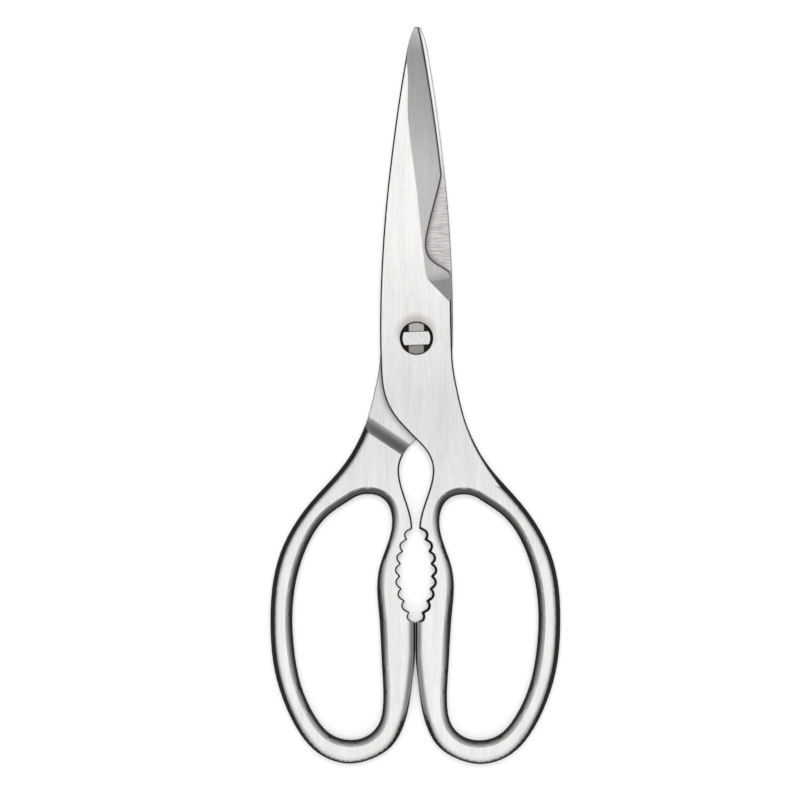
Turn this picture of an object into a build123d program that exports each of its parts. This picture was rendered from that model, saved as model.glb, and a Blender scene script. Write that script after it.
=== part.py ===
from build123d import *
import os
from math import atan2, cos, degrees, radians, sin

os.makedirs("parts", exist_ok=True)

# All-steel take-apart kitchen shears, lying flat and closed. Lengths are in millimetres.
# Origin: where the pivot axis meets the surface that the shears lie on.
# +Y runs to the blade tips, +X to the right handle, +Z up through the pivot.

# Driving dimensions
blade_reach = 96.4            # pivot to blade tip
handle_reach = 131.5          # pivot to the lowest point of the loops
handle_half_span = 44.8       # middle of the shears to the outside of a loop
body_half_width = 11.25       # middle of the shears to the spine, beside the pivot
crotch_distance = 31.3        # pivot to where the two halves part
leaf_thickness = 3.5          # one half where the two halves lap
parting_clearance = 0.1       # between the flat inner faces
stop_clearance = 0.1          # between the two stop lands when closed

# Blade
tip_thickness = 1.1
tip_half_width = 1.0
tip_offset = 0.3              # the point lies this far to the spine side
taper_start = 12.0            # pivot to where the blade begins to thin
edge_land = 0.4               # thickness left at the cutting edge, where it is straight
bevel_angle = 17.7            # of the wide ground bevel, in degrees
runout_start = 21.0           # pivot to where the bevel begins to rise out of the blade
runout_radius = 12.0
runout_angle = 12.4           # slope of the run-out, in degrees
cutting_length = 45.6         # serrated stretch, measured down from the tip
heel_half_width = 7.7         # middle of the shears to the lower end of the serrated stretch
notch_side = 2.9              # middle of the shears to the deepest point of the bone notch
notch_height = 28.9           # pivot to that deepest point
shoulder_side = 10.25         # middle of the shears to the corner under the notch
shoulder_height = 20.6        # pivot to that corner
serration_pitch = 0.48
serration_depth = 0.26
edge_rim = 0.34               # narrow bevel along the notch and the serrated edge
edge_rim_drop = 0.16

# Gap between the handles, nutcracker and stops
gap_half_width = 5.15         # widest half of the gap under the pivot
neck_half_gap = 1.05          # half of the narrow gap above the nutcracker
nutcracker_start = 59.1       # pivot to the top of the nutcracker
nutcracker_length = 28.45
nutcracker_half_width = 4.7   # middle of the shears to the tooth tips at the widest place
valley_count = 8
valley_depth = 1.25           # from the line of the tooth tips
valley_radius = 1.3
valley_side = 4.0             # length of a valley's sloping sides, which meet square
valley_turn = 45.0            # each side to the valley's middle line, in degrees
stop_length = 9.0

# Finger loops
side_band = 6.8               # loop outside to finger hole, at the side
bottom_band = 7.4             # the same at the bottom
inner_band = 7.3              # middle of the shears to the finger hole
top_band = 4.15               # bend of the outline above the hole, down to the hole's top

# Step from the lap to the full thickness of the handle
step_distance = 29.15         # pivot to the foot of the step, square to it
step_turn = 33.5              # how far the step leans from straight across, in degrees
step_run = 3.3                # width of the slope
step_round = 3.5

# Rims, sloped at the edge and crowned above it
leaf_rim = 0.45
leaf_rim_drop = 0.35
gap_rim = 0.5
gap_rim_drop = 0.4
handle_rim = 1.7
handle_rim_drop = 1.3
handle_crown = 4.5
hole_rim = 1.3
hole_rim_drop = 0.9
hole_crown = 3.0
valley_rim = 0.75             # of the nutcracker's valleys, on the front of the forging
valley_rim_drop = 0.9
valley_back_rim = 0.4         # the same on its back
valley_back_drop = 0.5
recess_rim = 0.3              # around the pivot recess

# Pivot
recess_diameter = 9.7
recess_depth = 1.3
web_thickness = 1.0           # the wall that the cross bar holds down
slot_width = 4.65
bar_width = 4.25
bar_turn = 2.3                # the cross bar stands this far off square, in degrees
bar_clearance = 0.45          # around the ends of the bar
bar_drop = 0.1                # top of the bar under the face around it
boss_clearance = 0.05         # radial, where the front half turns on the stud
web_clearance = 0.05          # above and below the web
neck_clearance = 0.15         # radial, between the stud's neck and the slot
rivet_diameter = 5.5
rivet_flare = 0.6             # how far the peened end spreads
stud_round = 0.25

overrun = 5.0                 # how far cutting shapes pass the steel

# Outline points, as shares of the sizes that they follow
spine_shares = [(0.231, 0.952), (0.316, 0.901), (0.467, 0.793), (0.621, 0.664), (0.865, 0.408), (0.978, 0.19)]
lap_shares = [(0.975, 0.29), (0.9, 0.53), (0.61, 0.76), (0.34, 0.875), (0, 1)]
gap_shares = [(0.7, 0.148), (0.985, 0.285), (0.975, 0.422), (0.67, 0.63), (0.32, 0.837)]
inner_shares = [(0.014, 0.22), (0.034, 0.431), (0.073, 0.642), (0.167, 0.853), (0.279, 0.947)]
bottom_share = 0.453
under_shares = [(0.591, 0.99), (0.696, 0.968), (0.81, 0.921), (0.91, 0.851), (0.971, 0.78)]
side_share = 0.673
outer_shares = [
    (0.981, 0.569), (0.926, 0.499), (0.817, 0.428), (0.712, 0.381), (0.589, 0.335), (0.475, 0.287),
    (0.396, 0.24), (0.34, 0.194), (0.286, 0.123), (0.259, 0.076), (0.25, 0.049),
]
hole_bend = 4                 # the finger hole's top follows this point of the outline
body_shares = [(0.976, -0.04), (0.96, 0.2), (0.946, 0.565)]
heel_shares = [(0.7, 0.18), (0.337, 0.373), (0.109, 0.602)]
notch_shares = [(0.12, 0.197), (0.415, 0.475), (0.793, 0.79)]
edge_shares = [(0.847, 0.222), (0.618, 0.493), (0.435, 0.684), (0.238, 0.873)]
hole_shares = [
    (0.25, 1), (0.035, 0.954), (0, 0.893), (0.05, 0.792), (0.121, 0.71), (0.148, 0.629),
    (0.127, 0.507), (0.098, 0.303), (0.085, 0.141), (0.134, 0.06), (0.263, 0.012), (0.413, 0),
    (0.593, 0.019), (0.777, 0.101), (0.912, 0.223), (0.986, 0.385), (1, 0.507), (0.951, 0.669),
    (0.848, 0.792), (0.643, 0.913), (0.429, 0.974),
]
handle_cut_share = 0.6        # the handle's solid begins here, inside the lap
blend_shares = [(0.345, 0.113), (0.329, 0.181), (0.382, 0.238), (0.496, 0.307), (0.587, 0.35)]
leaf_end_share = 1.2
valley_lean_share = 0.6       # how far the valleys turn with the line of the teeth
taper_shares = [(0.18, 0.04), (0.44, 0.18), (0.72, 0.34), (0.87, 0.55)]

# Heights from the parting plane between the two halves, used while one forging is made
lap_height = parting_clearance / 2
half_stack = leaf_thickness + lap_height

# Heights from the surface that the shears lie on, used for the finished pieces
back_inner = half_stack - lap_height
face = 2 * half_stack
recess_floor = face - recess_depth
web_under = recess_floor - web_thickness


def placed(shares, left, bottom, width, height):
    """Outline points from shares of a width and a height, measured from a corner."""
    return [(left + x * width, bottom + y * height) for x, y in shares]


# Plan of one half seen from the front, before the nutcracker's valleys are cut
with BuildSketch() as half_plan:
    with BuildLine():
        spine_top = (-tip_offset - tip_half_width, blade_reach - tip_half_width)
        tip = (-tip_offset, blade_reach)
        edge_top = (tip_half_width - tip_offset, blade_reach - tip_half_width)
        heel = (heel_half_width, blade_reach - cutting_length)
        notch = (notch_side, notch_height)
        shoulder = (shoulder_side, shoulder_height)
        nutcracker_end = nutcracker_start + nutcracker_length
        stop_end = nutcracker_end + stop_length
        neck = (neck_half_gap, -nutcracker_start)
        stop_top = (stop_clearance / 2, -nutcracker_end)
        stop_bottom = (stop_clearance / 2, -stop_end)

        # Spine, lap and gap, from the tip down to the nutcracker
        spine_points = placed(spine_shares, 0, 0, -body_half_width, blade_reach)
        lap_points = placed(lap_shares, 0, 0, -body_half_width, -crotch_distance)
        gap_drop = crotch_distance - nutcracker_start
        gap_points = placed(gap_shares, 0, -crotch_distance, gap_half_width, gap_drop)
        Spline(spine_top, *spine_points, (-body_half_width, 0), *lap_points, *gap_points, neck)
        teeth_middle = (nutcracker_half_width, -(nutcracker_start + nutcracker_end) / 2)
        teeth_line = ThreePointArc(neck, teeth_middle, stop_top)
        Line(stop_top, stop_bottom)

        # Round the loop and up the outside to the notch
        inner_points = placed(inner_shares, 0, -stop_end, handle_half_span, stop_end - handle_reach)
        bottom = (bottom_share * handle_half_span, -handle_reach)
        under_points = placed(under_shares, 0, 0, handle_half_span, -handle_reach)
        side = (handle_half_span, -side_share * handle_reach)
        outer_points = placed(outer_shares, 0, 0, handle_half_span, -handle_reach)
        body_points = placed(body_shares, 0, 0, body_half_width, shoulder_height)
        loop_points = [*inner_points, bottom, *under_points, side, *outer_points, *body_points]
        Spline(stop_bottom, *loop_points, shoulder, tangents=[(0, -1), (-0.05, 1)], tangent_scalars=[1, 1])

        # Bone notch and cutting edge
        lip_width = shoulder_side - notch_side
        lip_rise = notch_height - shoulder_height
        lip_points = placed(heel_shares, notch_side, shoulder_height, lip_width, lip_rise)
        notch_points = placed(notch_shares, *notch, heel_half_width - notch_side, heel[1] - notch_height)
        Spline(shoulder, *lip_points, notch, *notch_points, heel)
        edge_points = placed(edge_shares, 0, heel[1], heel_half_width, cutting_length)
        cutting_edge = Spline(heel, *edge_points, edge_top)
        ThreePointArc(edge_top, tip, spine_top)
    make_face()

# Finger hole
with BuildSketch() as hole_plan:
    with BuildLine():
        hole_width = handle_half_span - side_band - inner_band
        hole_bottom = bottom_band - handle_reach
        hole_top = outer_points[hole_bend][1] - top_band
        hole_points = placed(hole_shares, inner_band, hole_bottom, hole_width, hole_top - hole_bottom)
        Spline(hole_points, periodic=True)
    make_face()

# Cutter for one of the nutcracker's valleys, the corner of a rounded square, wider at both faces
with BuildPart() as valley:
    with BuildSketch(Plane.XY.offset(-half_stack)):
        RectangleRounded(valley_side, valley_side, valley_radius, rotation=valley_turn)
    extrude(amount=2 * half_stack)
    with BuildSketch(Plane.XY.offset(half_stack - valley_rim_drop)):
        RectangleRounded(valley_side, valley_side, valley_radius, rotation=valley_turn)
    extrude(amount=valley_rim_drop, taper=-degrees(atan2(valley_rim, valley_rim_drop)))
    with BuildSketch(Plane.XY.offset(valley_back_drop - half_stack)):
        RectangleRounded(valley_side, valley_side, valley_radius, rotation=valley_turn)
    slant = -degrees(atan2(valley_back_rim, valley_back_drop))
    extrude(amount=-valley_back_drop, taper=slant)

# The step is drawn on a plane that crosses it squarely, with x towards the pivot
step_foot = Vector(sin(radians(step_turn)), -cos(radians(step_turn))) * step_distance
step_along = Vector(cos(radians(step_turn)), sin(radians(step_turn)))
step_plane = Plane(origin=step_foot, x_dir=step_foot * -1, z_dir=step_along)

# Handle of the forging, thick on both sides of the parting plane, with rounded rims
with BuildPart() as handle_blank:
    extrude(half_plan.sketch, amount=half_stack, both=True)
    split(bisect_by=Plane(origin=step_foot * handle_cut_share, z_dir=step_foot), keep=Keep.TOP)
    for level in (0, -1):
        flat = faces().sort_by(Axis.Z)[level]
        chamfer(flat.edges().sort_by(SortBy.LENGTH)[-1], handle_rim, handle_rim_drop, reference=flat)
        flat = faces().sort_by(Axis.Z)[level]
        fillet(flat.edges().sort_by(SortBy.LENGTH)[-1], handle_crown)
        flat = faces().sort_by(Axis.Z)[level]
        gap_edge = flat.edges().filter_by(GeomType.BSPLINE).sort_by(SortBy.LENGTH)[0]
        chamfer(gap_edge, gap_rim, gap_rim_drop, reference=flat)
    with BuildSketch(Plane.XY.offset(-half_stack)):
        add(hole_plan.sketch)
    extrude(amount=2 * half_stack, mode=Mode.SUBTRACT)
    for level in (0, -1):
        flat = faces().sort_by(Axis.Z)[level]
        chamfer(flat.edges().filter_by(lambda edge: edge.is_closed), hole_rim, hole_rim_drop, reference=flat)
        flat = faces().sort_by(Axis.Z)[level]
        fillet(flat.edges().filter_by(lambda edge: edge.is_closed), hole_crown)
    # Relief that makes room for the other half, up to the sloped step
    with BuildSketch(step_plane):
        with BuildLine():
            step_rise = half_stack + lap_height
            low = -half_stack - overrun
            crest = -step_run * (step_rise + overrun) / step_rise
            far = blade_reach + step_distance
            Polyline((0, lap_height), (crest, low), (far, low), (far, lap_height), close=True)
        make_face()
        fillet(vertices().sort_by(SortBy.DISTANCE)[0], step_round)
    extrude(amount=handle_reach, both=True, mode=Mode.SUBTRACT)

# The bevel's plane passes above the straight line from heel to tip and rises to the spine
edge_along = Vector(edge_top[0] - heel[0], edge_top[1] - heel[1]).normalized()
edge_across = Vector(-edge_along.Y, edge_along.X) * cos(radians(bevel_angle))
up_bevel = edge_across + Vector(0, 0, sin(radians(bevel_angle)))
bevel_plane = Plane(origin=(*heel, lap_height + edge_land), x_dir=edge_along, z_dir=up_bevel * -1)

# Blade and body of the forging, all in front of the parting plane
with BuildPart() as leaf_blank:
    # The leaf ends where the handle's broader rim takes over
    with BuildSketch(Plane.XY.offset(lap_height)):
        add(half_plan.sketch)
        with BuildLine():
            blend = Spline(placed(blend_shares, 0, 0, handle_half_span, -handle_reach))
            leaf_end = -crotch_distance * leaf_end_share
            aside = 2 * handle_half_span
            below = -handle_reach - overrun
            end_points = [(-gap_half_width, leaf_end), (-gap_half_width, below), (aside, below)]
            Polyline(blend @ 1, *end_points, (aside, (blend @ 0).Y), blend @ 0)
        make_face(mode=Mode.SUBTRACT)
    extrude(amount=leaf_thickness)
    # Taper in thickness from the body to the tip
    with BuildSketch(Plane.YZ):
        with BuildLine():
            tip_drop = tip_thickness - leaf_thickness
            taper_points = placed(taper_shares, taper_start, half_stack, blade_reach - taper_start, tip_drop)
            tip_top = (blade_reach, half_stack + tip_drop)
            Spline((taper_start, half_stack), *taper_points, tip_top, tangents=[(1, 0), (1, -0.6)])
            high = half_stack + overrun
            past = blade_reach + overrun
            above = [(past, tip_top[1]), (past, high), (taper_start, high), (taper_start, half_stack)]
            Polyline(tip_top, *above)
        make_face()
    extrude(amount=2 * body_half_width, both=True, mode=Mode.SUBTRACT)
    # Rims that aren't ground: the gap edge with the spine, and the body's right side
    for order in (0, 1):
        flat = faces().filter_by(Axis.Z).sort_by(Axis.Z)[-1]
        rims = flat.edges().filter_by(GeomType.BSPLINE).filter_by(lambda edge: edge.center().Y < 0)
        chamfer(rims.sort_by(Axis.X)[order], leaf_rim, leaf_rim_drop, reference=flat)
    # Ground bevel with its curved run-out
    with BuildSketch(bevel_plane):
        with BuildLine():
            bevel = Line((blade_reach, 0), (runout_start - heel[1], 0))
            rise = JernArc(bevel @ 1, (-1, 0), runout_radius, -runout_angle)
            ramp = PolarLine(rise @ 1, blade_reach, 180 - runout_angle)
            Polyline(ramp @ 1, (blade_reach, (ramp @ 1).Y), bevel @ 0)
        make_face()
    extrude(amount=2 * body_half_width, both=True, mode=Mode.SUBTRACT)
    # Narrow second bevel along the notch and the cutting edge
    leaning = faces().filter_by(GeomType.PLANE).filter_by(Axis.Z, reverse=True)
    ground = leaning.sort_by(SortBy.AREA)[-1]
    lower_edges = ground.edges().filter_by(GeomType.BSPLINE).filter_by(lambda edge: edge.center().X > notch_side)
    chamfer(lower_edges, edge_rim, edge_rim_drop, reference=ground)

# The whole forging, with the nutcracker's valleys
with BuildPart() as forging:
    add(handle_blank.part)
    add(leaf_blank.part)
    corner = valley_side * sin(radians(valley_turn))
    set_back = valley_depth + valley_radius / sin(radians(valley_turn)) - valley_radius - corner
    for number in range(valley_count):
        place = (number + 0.5) / valley_count
        run = teeth_line % place
        lean = valley_lean_share * atan2(run.X, -run.Y)
        middle = teeth_line @ place + Vector(cos(lean), sin(lean)) * set_back
        with Locations(Location(middle, (0, 0, degrees(lean)))):
            add(valley.part, mode=Mode.SUBTRACT)

# Front half: recess, web with its slot, counterbore for the stud, and the serrated edge
with BuildPart() as front_half:
    with Locations((0, 0, half_stack)):
        add(forging.part)
    with BuildSketch(Plane.XY.offset(recess_floor)):
        Circle(recess_diameter / 2)
    extrude(amount=recess_depth, mode=Mode.SUBTRACT)
    chamfer(edges(Select.LAST).filter_by(GeomType.CIRCLE).sort_by(Axis.Z)[-1], recess_rim)
    with BuildSketch(Plane.XY.offset(web_under)):
        Circle(recess_diameter / 2)
        Rectangle(slot_width, recess_diameter, mode=Mode.INTERSECT)
    extrude(amount=web_thickness, mode=Mode.SUBTRACT)
    with BuildSketch(Plane.XY.offset(back_inner)):
        Circle(recess_diameter / 2)
    extrude(amount=web_under - back_inner, mode=Mode.SUBTRACT)
    serration_count = int(cutting_edge.length / serration_pitch)
    with BuildSketch(Plane.XY.offset(back_inner)):
        for number in range(serration_count):
            place = (number + 0.5) / serration_count
            run = cutting_edge % place
            with Locations(cutting_edge @ place):
                RegularPolygon(serration_depth, 4, rotation=degrees(atan2(run.Y, run.X)))
    extrude(amount=leaf_thickness, mode=Mode.SUBTRACT)
front_half.part.label = "front_half"
export_step(front_half.part, "parts/front_half.step")

# Back half: the same forging turned over, with a countersunk hole for the rivet end
rivet_radius = rivet_diameter / 2
rivet_points = [(0, 0), (rivet_radius + rivet_flare, 0), (rivet_radius, rivet_flare)]
with BuildPart() as back_half:
    with Locations(Location((0, 0, half_stack), (0, 180, 0))):
        add(forging.part)
    with BuildSketch(Plane.XZ):
        with BuildLine():
            Polyline(*rivet_points, (rivet_radius, half_stack), (0, half_stack), close=True)
        make_face()
    revolve(axis=Axis.Z, mode=Mode.SUBTRACT)
back_half.part.label = "back_half"
export_step(back_half.part, "parts/back_half.step")

# Pivot stud: peened rivet end, boss that the front half turns on, neck and cross bar
with BuildPart() as pivot_stud:
    with BuildSketch(Plane.XZ):
        with BuildLine():
            boss_radius = recess_diameter / 2 - boss_clearance
            boss_top = web_under - web_clearance
            boss_points = [(rivet_radius, back_inner), (boss_radius, back_inner), (boss_radius, boss_top)]
            neck_radius = slot_width / 2 - neck_clearance
            bar_under = recess_floor + web_clearance
            neck_points = [(neck_radius, boss_top), (neck_radius, bar_under), (0, bar_under)]
            Polyline(*rivet_points, *boss_points, *neck_points, close=True)
        make_face()
    revolve(axis=Axis.Z)
    with BuildSketch(Plane.XY.offset(bar_under)):
        Circle(recess_diameter / 2 - bar_clearance)
        Rectangle(recess_diameter, bar_width, rotation=bar_turn, mode=Mode.INTERSECT)
    extrude(amount=face - bar_drop - bar_under)
    fillet(faces().sort_by(Axis.Z)[-1].edges(), stud_round)
pivot_stud.part.label = "pivot_stud"
export_step(pivot_stud.part, "parts/pivot_stud.step")
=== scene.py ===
import bpy
import math
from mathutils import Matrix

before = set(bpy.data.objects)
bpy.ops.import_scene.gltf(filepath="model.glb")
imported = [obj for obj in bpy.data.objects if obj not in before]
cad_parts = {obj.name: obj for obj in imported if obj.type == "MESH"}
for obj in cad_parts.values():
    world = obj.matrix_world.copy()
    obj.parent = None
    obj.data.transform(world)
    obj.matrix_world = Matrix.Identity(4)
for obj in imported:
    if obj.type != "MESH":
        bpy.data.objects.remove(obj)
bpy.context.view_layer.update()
bpy.ops.object.select_all(action="DESELECT")

MM = 0.001

# Places on the shears that the finish follows, in metres from the pivot
THICKNESS = 7.1 * MM
HOLE_SIDE = 22 * MM               # middle of a finger hole, to the side
HOLE_BELOW = 87 * MM              # the same, below the pivot
HANDLE_START = 45 * MM            # below this lie only the handles
STOP_START = 87.5 * MM            # below this the handles meet at the stop lands
STEP_TURN = math.radians(33.5)    # how far the step leans from straight across
STEP_MIDDLE = 30.2 * MM           # pivot to the middle of the step, square to it
STEP_HALF = 3.4 * MM              # from there to its top or foot
HEEL_HEIGHT = 50.8 * MM           # lower end of the serrated edge
HEEL_SIDE = 7.7 * MM              # the same, to the side
EDGE_LEAN = -0.104                # how the edge's line runs inwards above the heel
EDGE_BOW = -0.00117 / MM          # and how much faster as it rises
TOOTH_MARKS = 0.7 * MM            # from one mark of the teeth to the next


def linear(code):
    """An sRGB hex colour as linear red, green, blue and alpha."""
    parts = [int(code[i:i + 2], 16) / 255 for i in (1, 3, 5)]
    return [c / 12.92 if c <= 0.04045 else ((c + 0.055) / 1.055) ** 2.4 for c in parts] + [1.0]


def node(tree, kind, links=None, settings=None, **values):
    """Adds a node, sets its properties and input values, and links its inputs from other sockets."""
    new = tree.nodes.new(kind)
    for name, value in (settings or {}).items():
        setattr(new, name, value)
    for name, value in values.items():
        new.inputs[name.replace("_", " ")].default_value = value
    for name, socket in (links or {}).items():
        if isinstance(socket, (int, float, tuple, list)):
            new.inputs[name].default_value = socket
        else:
            tree.links.new(socket, new.inputs[name])
    return new


def colours(ramp, *stops):
    """Sets a colour ramp's stops, each a position and a hex colour, or a linear grey that may pass white."""
    while len(ramp.color_ramp.elements) < len(stops):
        ramp.color_ramp.elements.new(0.5)
    for stop, (position, tone) in zip(ramp.color_ramp.elements, stops):
        stop.position = position
        stop.color = linear(tone) if isinstance(tone, str) else (tone, tone, tone, 1.0)


def material(name):
    """A new metal material, with its node tree and its shader."""
    made = bpy.data.materials.new(name)
    made.use_nodes = True
    tree = made.node_tree
    tree.nodes.clear()
    shader = node(tree, "ShaderNodeBsdfPrincipled", Metallic=1.0)
    node(tree, "ShaderNodeOutputMaterial", {"Surface": shader.outputs["BSDF"]})
    return made, tree, shader


def steel_half(name, inner_face, side):
    """Forged stainless steel of one half: belt-ground faces, with painted shade on the bevel, the rims, the
    edges and the corners.

    inner_face is the height of the blade's inner face. side is 1 for the half whose handle lies to the
    right, towards +X, and -1 for the other.
    """
    made, tree, shader = material(name)
    spot = node(tree, "ShaderNodeTexCoord")
    place = node(tree, "ShaderNodeSeparateXYZ", {"Vector": spot.outputs["Object"]})
    facing = node(tree, "ShaderNodeSeparateXYZ", {"Vector": spot.outputs["Normal"]})
    level = node(tree, "ShaderNodeMath", {0: facing.outputs["Z"]}, {"operation": "ABSOLUTE"})
    off_middle = node(tree, "ShaderNodeMath", {0: place.outputs["X"]}, {"operation": "ABSOLUTE"})

    # Belt marks run along the blade: 0.4 mm apart, 6 mm long, in broad soft bands
    lengthwise = node(tree, "ShaderNodeMapping", {"Vector": spot.outputs["Object"]},
                      Scale=(1 / (0.4 * MM), 1 / (6 * MM), 1 / (0.4 * MM)))
    marks = node(tree, "ShaderNodeTexNoise", {"Vector": lengthwise.outputs["Vector"]},
                 Scale=1.0, Detail=3.0, Roughness=0.65)
    broad = node(tree, "ShaderNodeMapping", {"Vector": spot.outputs["Object"]},
                 Scale=(1 / (3 * MM), 1 / (40 * MM), 1 / (3 * MM)))
    bands = node(tree, "ShaderNodeTexNoise", {"Vector": broad.outputs["Vector"]}, Scale=1.0, Detail=2.0)
    belt = node(tree, "ShaderNodeMix", {"A": marks.outputs["Fac"], "B": bands.outputs["Fac"]}, Factor=0.4)
    ground = node(tree, "ShaderNodeValToRGB", {"Fac": belt.outputs["Result"]})
    colours(ground, (0.3, "#DDDBD9"), (0.5, "#EAE8E6"), (0.68, "#F6F4F2"))

    # The body is ground a little duller than the blade and the loops
    down_body = node(tree, "ShaderNodeMapRange", {"Value": place.outputs["Y"]},
                     From_Min=30 * MM, From_Max=-70 * MM)
    dull = node(tree, "ShaderNodeValToRGB", {"Fac": down_body.outputs["Result"]})
    colours(dull, (0.0, "#FFFFFF"), (0.48, "#E7E7E7"), (1.0, "#F8F8F8"))
    body = node(tree, "ShaderNodeMixRGB",
                {"Color1": ground.outputs["Color"], "Color2": dull.outputs["Color"]},
                {"blend_type": "MULTIPLY"}, Fac=1.0)

    # Painted shade: the tilted bevel is drawn darker towards the point, and lighter again at its very end
    tilted = node(tree, "ShaderNodeMapRange", {"Value": level.outputs[0]}, From_Min=0.975, From_Max=0.96)
    up_blade = node(tree, "ShaderNodeMapRange", {"Value": place.outputs["Y"]},
                    From_Min=52 * MM, From_Max=98 * MM)
    bevel_shade_ramp = node(tree, "ShaderNodeValToRGB", {"Fac": up_blade.outputs[0]})
    colours(bevel_shade_ramp, (0.0, "#000000"), (0.72, "#FFFFFF"), (0.8, "#FFFFFF"), (0.95, "#606060"))
    bevel_shade = node(tree, "ShaderNodeMath", {0: tilted.outputs[0], 1: bevel_shade_ramp.outputs["Color"]},
                  {"operation": "MULTIPLY"})
    bevel = node(tree, "ShaderNodeMixRGB", {"Fac": bevel_shade.outputs[0], "Color1": body.outputs["Color"]},
                 {"blend_type": "MULTIPLY"}, Color2=linear("#D0D0D0"))

    # Inside the finger holes painted shade darkens the rim softly, and sooner in their upper bends
    hole_middle = (HOLE_SIDE * side, -HOLE_BELOW, 0)
    to_middle = node(tree, "ShaderNodeVectorMath", {0: hole_middle, 1: spot.outputs["Object"]},
                     {"operation": "SUBTRACT"})
    flat_way = node(tree, "ShaderNodeVectorMath", {0: to_middle.outputs[0], 1: (1, 1, 0)},
                    {"operation": "MULTIPLY"})
    unit_way = node(tree, "ShaderNodeVectorMath", {0: flat_way.outputs[0]}, {"operation": "NORMALIZE"})
    inwards = node(tree, "ShaderNodeVectorMath", {0: unit_way.outputs[0], 1: spot.outputs["Normal"]},
                   {"operation": "DOT_PRODUCT"})
    handle = node(tree, "ShaderNodeMath", {0: place.outputs["Y"], 1: -HANDLE_START},
                  {"operation": "LESS_THAN"})
    hole_rim = node(tree, "ShaderNodeMath", {0: inwards.outputs["Value"], 1: handle.outputs[0]},
                    {"operation": "MULTIPLY", "use_clamp": True})
    downwards = node(tree, "ShaderNodeMath", {0: facing.outputs["Y"], 1: 0.0}, {"operation": "MINIMUM"})
    upper_bend = node(tree, "ShaderNodeMath", {0: downwards.outputs[0], 1: -4.0}, {"operation": "MULTIPLY"})
    rim_shade_amount = node(tree, "ShaderNodeMath",
                      {0: hole_rim.outputs[0], 1: upper_bend.outputs[0], 2: hole_rim.outputs[0]},
                      {"operation": "MULTIPLY_ADD", "use_clamp": True})
    rim_shade_ramp = node(tree, "ShaderNodeValToRGB", {"Fac": rim_shade_amount.outputs[0]})
    colours(rim_shade_ramp, (0.0, "#FFFFFF"), (0.05, "#F6F6F6"), (0.18, "#BCBCBC"), (0.33, "#8A8A8A"),
            (0.45, "#626262"))
    rim_shaded = node(tree, "ShaderNodeMixRGB",
                   {"Color1": bevel.outputs["Color"], "Color2": rim_shade_ramp.outputs["Color"]},
                   {"blend_type": "MULTIPLY"}, Fac=1.0)

    # The painted rim shade reaches less far over the rim at the lower ends of the loops and where the handles
    # meet
    ends = node(tree, "ShaderNodeMapRange", {"Value": place.outputs["Y"]},
                From_Min=-95 * MM, From_Max=-125 * MM, To_Max=-0.15)
    ends_shade_level = node(tree, "ShaderNodeMath",
                     {0: ends.outputs[0], 1: downwards.outputs[0], 2: level.outputs[0]},
                     {"operation": "MULTIPLY_ADD"})
    by_gap = node(tree, "ShaderNodeMapRange", {"Value": off_middle.outputs[0]},
                  From_Min=4.5 * MM, From_Max=1.5 * MM, To_Max=0.12)
    stops = node(tree, "ShaderNodeMath", {0: place.outputs["Y"], 1: -STOP_START}, {"operation": "LESS_THAN"})
    rim_shade_level = node(tree, "ShaderNodeMath", {0: by_gap.outputs[0], 1: stops.outputs[0], 2: ends_shade_level.outputs[0]},
                {"operation": "MULTIPLY_ADD"})

    # Rims are painted dark as painted shade, upright walls are bright, and the sloped step is left out of it
    steep = node(tree, "ShaderNodeMapRange", {"Value": rim_shade_level.outputs[0]}, From_Min=0.94, From_Max=0.90)
    rim_painted_dark = node(tree, "ShaderNodeValToRGB", {"Fac": level.outputs[0]})
    colours(rim_painted_dark, (0.0, "#CFCDCC"), (0.1, "#B5B3B2"), (0.2, "#222121"), (0.9, "#4C4B4A"))
    away = (math.sin(STEP_TURN) * side, -math.cos(STEP_TURN), 0)
    along = node(tree, "ShaderNodeVectorMath", {0: spot.outputs["Object"], 1: away},
                 {"operation": "DOT_PRODUCT"})
    near = node(tree, "ShaderNodeMath", {0: along.outputs["Value"], 1: STEP_MIDDLE, 2: STEP_HALF},
                {"operation": "COMPARE"})
    towards = node(tree, "ShaderNodeVectorMath", {0: spot.outputs["Normal"], 1: away},
                   {"operation": "DOT_PRODUCT"})
    sloped = node(tree, "ShaderNodeMapRange", {"Value": towards.outputs["Value"]},
                  From_Min=-0.15, From_Max=-0.3)
    step = node(tree, "ShaderNodeMath", {0: near.outputs[0], 1: sloped.outputs[0]}, {"operation": "MULTIPLY"})
    painted_rim = node(tree, "ShaderNodeMath", {0: steep.outputs[0], 1: step.outputs[0]},
               {"operation": "SUBTRACT", "use_clamp": True})

    # Painted shade: the step is drawn darker towards its foot
    foot = node(tree, "ShaderNodeMapRange", {"Value": along.outputs["Value"]},
                From_Min=28 * MM, From_Max=32.2 * MM)
    shade = node(tree, "ShaderNodeValToRGB", {"Fac": foot.outputs[0]})
    colours(shade, (0.0, "#FFFFFF"), (0.3, "#F2F2F2"), (0.6, "#D0D0D0"), (0.85, "#C8C8C8"), (1.0, "#EEEEEE"))
    shaded = node(tree, "ShaderNodeMixRGB",
                  {"Fac": step.outputs[0],
                   "Color1": rim_shaded.outputs["Color"], "Color2": shade.outputs["Color"]},
                  {"blend_type": "MULTIPLY"})
    rims_painted_dark = node(tree, "ShaderNodeMixRGB",
                {"Fac": painted_rim.outputs[0], "Color1": shaded.outputs["Color"], "Color2": rim_painted_dark.outputs["Color"]})

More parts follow.
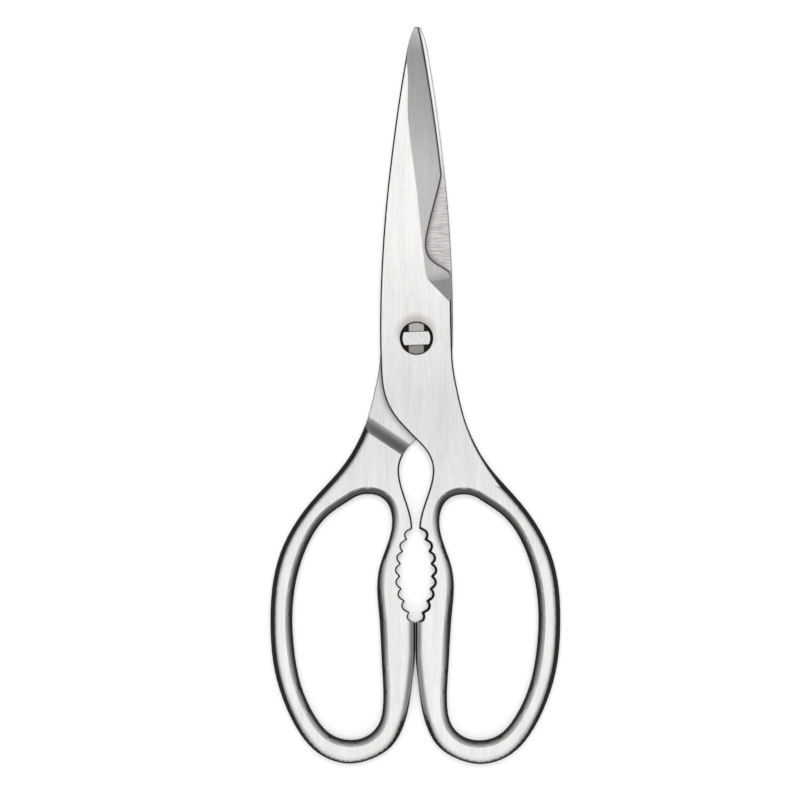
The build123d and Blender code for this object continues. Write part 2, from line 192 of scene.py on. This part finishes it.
    # The blade's flat inner face is ground across, with wavy marks 0.4 mm apart and 4 mm long.
    # It is brighter towards the point, where only a narrow strip of it shows beside the other blade.
    waves = node(tree, "ShaderNodeMapping", {"Vector": spot.outputs["Object"]},
                 Scale=(1 / (4 * MM), 1 / (0.4 * MM), 1 / (0.4 * MM)))
    cross = node(tree, "ShaderNodeTexNoise", {"Vector": waves.outputs["Vector"]},
                 Scale=1.0, Detail=2.0, Distortion=0.6)
    inner = node(tree, "ShaderNodeValToRGB", {"Fac": cross.outputs["Fac"]})
    colours(inner, (0.36, "#AFAAA9"), (0.5, "#C3BFBE"), (0.64, "#D4D0CF"))
    inside = node(tree, "ShaderNodeMath", {0: place.outputs["Z"], 1: inner_face, 2: 0.03 * MM},
                  {"operation": "COMPARE"})
    blade = node(tree, "ShaderNodeMapRange", {"Value": place.outputs["Y"]}, From_Min=-5 * MM, From_Max=5 * MM)
    flat = node(tree, "ShaderNodeMath", {0: inside.outputs[0], 1: blade.outputs[0]},
                {"operation": "MULTIPLY"})
    bright_end = node(tree, "ShaderNodeMapRange", {"Value": place.outputs["Y"]},
                      From_Min=46 * MM, From_Max=58 * MM, To_Max=0.8)
    inner_tone = node(tree, "ShaderNodeMixRGB",
                      {"Fac": bright_end.outputs[0], "Color1": inner.outputs["Color"]},
                      Color2=linear("#FAF7F6"))
    lapped = node(tree, "ShaderNodeMixRGB",
                  {"Fac": flat.outputs[0],
                   "Color1": rims_painted_dark.outputs["Color"], "Color2": inner_tone.outputs["Color"]})

    # Painted shade: a dark strip 0.5 mm wide along the outside of the cutting edge, on its slightly bowed
    # line
    up = node(tree, "ShaderNodeMath", {0: place.outputs["Y"], 1: HEEL_HEIGHT}, {"operation": "SUBTRACT"})
    lean = node(tree, "ShaderNodeMath", {0: up.outputs[0], 1: EDGE_BOW, 2: EDGE_LEAN},
                {"operation": "MULTIPLY_ADD"})
    line = node(tree, "ShaderNodeMath", {0: lean.outputs[0], 1: up.outputs[0], 2: HEEL_SIDE},
                {"operation": "MULTIPLY_ADD"})
    outwards = node(tree, "ShaderNodeMath", {0: place.outputs["X"], 1: side}, {"operation": "MULTIPLY"})
    beyond = node(tree, "ShaderNodeMath", {0: outwards.outputs[0], 1: line.outputs[0]},
                  {"operation": "SUBTRACT"})
    strip = node(tree, "ShaderNodeMapRange", {"Value": beyond.outputs[0]},
                 From_Min=-0.6 * MM, From_Max=-0.45 * MM)
    above = node(tree, "ShaderNodeMath", {0: up.outputs[0], 1: 0.0}, {"operation": "GREATER_THAN"})
    edge_strip = node(tree, "ShaderNodeMath", {0: strip.outputs[0], 1: above.outputs[0]}, {"operation": "MULTIPLY"})
    outside = node(tree, "ShaderNodeMath", {0: edge_strip.outputs[0], 1: inside.outputs[0]},
                   {"operation": "SUBTRACT", "use_clamp": True})

    # The teeth stand 0.48 mm apart, too fine to show, so the painted shade between them is drawn in coarser
    # marks
    beat = node(tree, "ShaderNodeMath", {0: place.outputs["Y"], 1: 2 * math.pi / TOOTH_MARKS},
                {"operation": "MULTIPLY"})
    swing = node(tree, "ShaderNodeMath", {0: beat.outputs[0]}, {"operation": "SINE"})
    teeth = node(tree, "ShaderNodeMapRange", {"Value": swing.outputs[0]},
                 From_Min=-0.7, From_Max=0.1, To_Min=0.3)
    edge_shade = node(tree, "ShaderNodeMath", {0: outside.outputs[0], 1: teeth.outputs[0]},
                {"operation": "MULTIPLY"})
    edge_shaded = node(tree, "ShaderNodeMixRGB", {"Fac": edge_shade.outputs[0], "Color1": lapped.outputs["Color"]},
                   Color2=linear("#3A3938"))

    # Painted shade: sharp edges are drawn with a thin dark line
    rounded = node(tree, "ShaderNodeBevel", settings={"samples": 6}, Radius=0.8 * MM)
    rounded_normal = node(tree, "ShaderNodeSeparateXYZ", {"Vector": rounded.outputs["Normal"]})
    rounded_level = node(tree, "ShaderNodeMath", {0: rounded_normal.outputs["Z"]}, {"operation": "ABSOLUTE"})
    rounded_tilt = node(tree, "ShaderNodeMapRange", {"Value": rounded_level.outputs[0]},
                       From_Min=0.96, From_Max=0.88)
    even = node(tree, "ShaderNodeMapRange", {"Value": level.outputs[0]}, From_Min=0.93, From_Max=0.96)
    arris_shade = node(tree, "ShaderNodeMath", {0: rounded_tilt.outputs[0], 1: even.outputs[0]},
                 {"operation": "MULTIPLY"})
    arris_shaded = node(tree, "ShaderNodeMixRGB", {"Fac": arris_shade.outputs[0], "Color1": edge_shaded.outputs["Color"]},
                 {"blend_type": "MULTIPLY"}, Color2=linear("#333231"))

    # Painted shade darkens the corners where two surfaces meet
    nook = node(tree, "ShaderNodeAmbientOcclusion", settings={"samples": 8}, Distance=2.5 * MM)
    corner_shade = node(tree, "ShaderNodeValToRGB", {"Fac": nook.outputs["AO"]})
    colours(corner_shade, (0.05, "#2A2929"), (0.35, "#9A9897"), (0.9, "#FFFFFF"))
    corner_shaded = node(tree, "ShaderNodeMixRGB",
                 {"Color1": arris_shaded.outputs["Color"], "Color2": corner_shade.outputs["Color"]},
                 {"blend_type": "MULTIPLY"}, Fac=1.0)

    # A soft darker mark lies above the pivot
    mark = (0, 1.6 * MM, THICKNESS)
    apart = node(tree, "ShaderNodeVectorMath", {0: spot.outputs["Object"], 1: mark},
                 {"operation": "DISTANCE"})
    halo = node(tree, "ShaderNodeMapRange", {"Value": apart.outputs["Value"]},
                {"interpolation_type": "SMOOTHSTEP"}, From_Min=7.2 * MM, From_Max=3.8 * MM)
    pivot_mark = node(tree, "ShaderNodeMixRGB", {"Fac": halo.outputs[0], "Color1": corner_shaded.outputs["Color"]},
                     {"blend_type": "MULTIPLY"}, Color2=linear("#CFCDCC"))

    # Painted shade: the pivot recess and the gap between the stop lands are drawn black
    flat_place = node(tree, "ShaderNodeVectorMath", {0: spot.outputs["Object"], 1: (1, 1, 0)},
                      {"operation": "MULTIPLY"})
    radius = node(tree, "ShaderNodeVectorMath", {0: flat_place.outputs[0]}, {"operation": "LENGTH"})
    round_hole = node(tree, "ShaderNodeMath", {0: radius.outputs["Value"], 1: 5.2 * MM},
                      {"operation": "LESS_THAN"})
    deep = node(tree, "ShaderNodeMath", {0: place.outputs["Z"], 1: 6.3 * MM, 2: 0.79 * MM},
                {"operation": "COMPARE"})
    recess = node(tree, "ShaderNodeMath", {0: round_hole.outputs[0], 1: deep.outputs[0]},
                  {"operation": "MULTIPLY"})
    gap_side = node(tree, "ShaderNodeMapRange", {"Value": off_middle.outputs[0]},
                    From_Min=0.8 * MM, From_Max=0.4 * MM)
    gap_shade = node(tree, "ShaderNodeMath", {0: gap_side.outputs[0], 1: stops.outputs[0]},
                {"operation": "MULTIPLY"})
    painted_black = node(tree, "ShaderNodeMath", {0: recess.outputs[0], 1: gap_shade.outputs[0]}, {"operation": "MAXIMUM"})
    finish = node(tree, "ShaderNodeMixRGB", {"Fac": painted_black.outputs[0], "Color1": pivot_mark.outputs["Color"]},
                  Color2=linear("#1F1F20"))

    # The marks are felt as fine relief and change the gloss; the step is left dull from the forging
    height = node(tree, "ShaderNodeMix",
                  {"Factor": flat.outputs[0], "A": belt.outputs["Result"], "B": cross.outputs["Fac"]})
    relief = node(tree, "ShaderNodeBump", {"Height": height.outputs["Result"]},
                  Strength=0.12, Distance=0.02 * MM)
    gloss = node(tree, "ShaderNodeMapRange", {"Value": height.outputs["Result"]},
                 From_Min=0.3, From_Max=0.7, To_Min=0.2, To_Max=0.29)
    dull_step = node(tree, "ShaderNodeMix", {"Factor": step.outputs[0], "A": gloss.outputs["Result"]}, B=0.6)
    tree.links.new(finish.outputs["Color"], shader.inputs["Base Color"])
    tree.links.new(relief.outputs["Normal"], shader.inputs["Normal"])
    tree.links.new(dull_step.outputs["Result"], shader.inputs["Roughness"])
    return made


def turned_stud():
    """Turned stainless steel of the stud: fine short marks on the bar, with painted shade on its edges and
    deep in the slot.
    """
    made, tree, shader = material("turned stainless steel")
    spot = node(tree, "ShaderNodeTexCoord")
    place = node(tree, "ShaderNodeSeparateXYZ", {"Vector": spot.outputs["Object"]})
    facing = node(tree, "ShaderNodeSeparateXYZ", {"Vector": spot.outputs["Normal"]})
    level = node(tree, "ShaderNodeMath", {0: facing.outputs["Z"]}, {"operation": "ABSOLUTE"})

    # Marks 0.5 mm apart and 1.4 mm long on the bar, and painted shade on the steep edges around it
    fine = node(tree, "ShaderNodeMapping", {"Vector": spot.outputs["Object"]},
                Scale=(1 / (0.5 * MM), 1 / (1.4 * MM), 1 / (0.5 * MM)))
    marks = node(tree, "ShaderNodeTexNoise", {"Vector": fine.outputs["Vector"]}, Scale=1.0, Detail=3.0)
    bar = node(tree, "ShaderNodeValToRGB", {"Fac": marks.outputs["Fac"]})
    colours(bar, (0.3, "#CBC9C8"), (0.5, "#D8D6D5"), (0.7, "#E4E3E2"))
    steep = node(tree, "ShaderNodeMapRange", {"Value": level.outputs[0]}, From_Min=0.94, From_Max=0.8)
    bar_edges_shaded = node(tree, "ShaderNodeMixRGB", {"Fac": steep.outputs[0], "Color1": bar.outputs["Color"]},
                 Color2=linear("#3A3939"))

    # Painted shade darkens the boss under the slot, with the bar's painted shadow deeper on its lower side
    below_bar = node(tree, "ShaderNodeMapRange", {"Value": place.outputs["Y"]}, From_Min=2 * MM, From_Max=-2 * MM)
    slot_shade = node(tree, "ShaderNodeValToRGB", {"Fac": below_bar.outputs[0]})
    colours(slot_shade, (0.0, "#ADAAA8"), (1.0, "#8C8987"))
    deep = node(tree, "ShaderNodeMath", {0: place.outputs["Z"], 1: 5.5 * MM}, {"operation": "LESS_THAN"})
    finish = node(tree, "ShaderNodeMixRGB",
                  {"Fac": deep.outputs[0], "Color1": bar_edges_shaded.outputs["Color"], "Color2": slot_shade.outputs["Color"]})
    relief = node(tree, "ShaderNodeBump", {"Height": marks.outputs["Fac"]}, Strength=0.15, Distance=0.02 * MM)
    tree.links.new(finish.outputs["Color"], shader.inputs["Base Color"])
    tree.links.new(relief.outputs["Normal"], shader.inputs["Normal"])
    shader.inputs["Roughness"].default_value = 0.26
    return made


front_steel = steel_half("belt-ground stainless steel, front half", 3.6 * MM, 1)
back_steel = steel_half("belt-ground stainless steel, back half", 3.5 * MM, -1)
for name, finish in (("front_half", front_steel), ("back_half", back_steel), ("pivot_stud", turned_stud())):
    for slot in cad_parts[name].material_slots:
        slot.material = finish

# Plain pale floor, a hair under the shears, that stays white in the picture and takes a soft shadow
bpy.ops.mesh.primitive_plane_add(size=6.0, location=(0, 0, -0.05 * MM))
floor = bpy.context.active_object
floor.name = "floor"
paper, tree, shader = material("matt white paper")
shader.inputs["Metallic"].default_value = 0.0
shader.inputs["Base Color"].default_value = linear("#E6E6E6")
shader.inputs["Roughness"].default_value = 0.9
shader.inputs["Specular IOR Level"].default_value = 0.1
path = node(tree, "ShaderNodeLightPath")
straight = node(tree, "ShaderNodeMath", {0: path.outputs["Is Camera Ray"], 1: path.outputs["Is Glossy Ray"]},
                {"operation": "MAXIMUM"})
seen = node(tree, "ShaderNodeMath", {0: straight.outputs[0], 1: path.outputs["Is Transmission Ray"]},
            {"operation": "MAXIMUM"})
glow = node(tree, "ShaderNodeMath", {0: seen.outputs[0], 1: 0.35}, {"operation": "MULTIPLY"})
shader.inputs["Emission Color"].default_value = (1, 1, 1, 1)
tree.links.new(glow.outputs[0], shader.inputs["Emission Strength"])
floor.data.materials.append(paper)

# Light tent: brightest overhead, a darker band lower down that draws the rims, and a grey horizon,
# so that the steel looks grey and not black from the side. A white card stands beyond the handles.
world = bpy.data.worlds.new("light tent")
bpy.context.scene.world = world
world.use_nodes = True
sky_tree = world.node_tree
sky_tree.nodes.clear()
way = node(sky_tree, "ShaderNodeTexCoord")
parts = node(sky_tree, "ShaderNodeSeparateXYZ", {"Vector": way.outputs["Generated"]})
card = node(sky_tree, "ShaderNodeMapRange", {"Value": parts.outputs["Y"]},
            From_Min=-0.3, From_Max=-1.0, To_Max=0.4)
bright = node(sky_tree, "ShaderNodeMath", {0: parts.outputs["Z"], 1: card.outputs[0]}, {"operation": "ADD"})
fall = node(sky_tree, "ShaderNodeValToRGB", {"Fac": bright.outputs[0]})
colours(fall, (0.25, 0.5), (0.42, 0.3), (0.6, 0.2), (0.78, 0.58), (0.88, 1.08), (0.99, 1.14))
sky = node(sky_tree, "ShaderNodeBackground", {"Color": fall.outputs["Color"]}, Strength=1.0)
node(sky_tree, "ShaderNodeOutputWorld", {"Surface": sky.outputs["Background"]})

# One broad lamp above the blade: it lights only what is matt, so the floor takes a short soft shadow
lamp_data = bpy.data.lights.new("soft lamp", "AREA")
lamp_data.shape = "DISK"
lamp_data.size = 0.5
lamp_data.energy = 6.0
lamp = bpy.data.objects.new("soft lamp", lamp_data)
bpy.context.scene.collection.objects.link(lamp)
lamp.location = (0.0, 0.24, 1.3)
lamp.rotation_euler = (math.radians(-10.5), 0, 0)
lamp.visible_glossy = False

# Camera straight above, turned a fifth of a degree as the shears lie in the picture
camera_data = bpy.data.cameras.new("camera")
camera = bpy.data.objects.new("camera", camera_data)
bpy.context.scene.collection.objects.link(camera)
bpy.context.scene.camera = camera
width = 0.2469     # what the picture spans at the height of the top faces
height = 1.2
camera_data.sensor_width = 36
camera_data.lens = camera_data.sensor_width * (height - THICKNESS) / width
camera.location = (-5 * MM, -19.1 * MM, height)
camera.rotation_euler = (0, 0, math.radians(0.2))
camera_data.clip_end = 10

bpy.context.scene.view_settings.view_transform = "Standard"
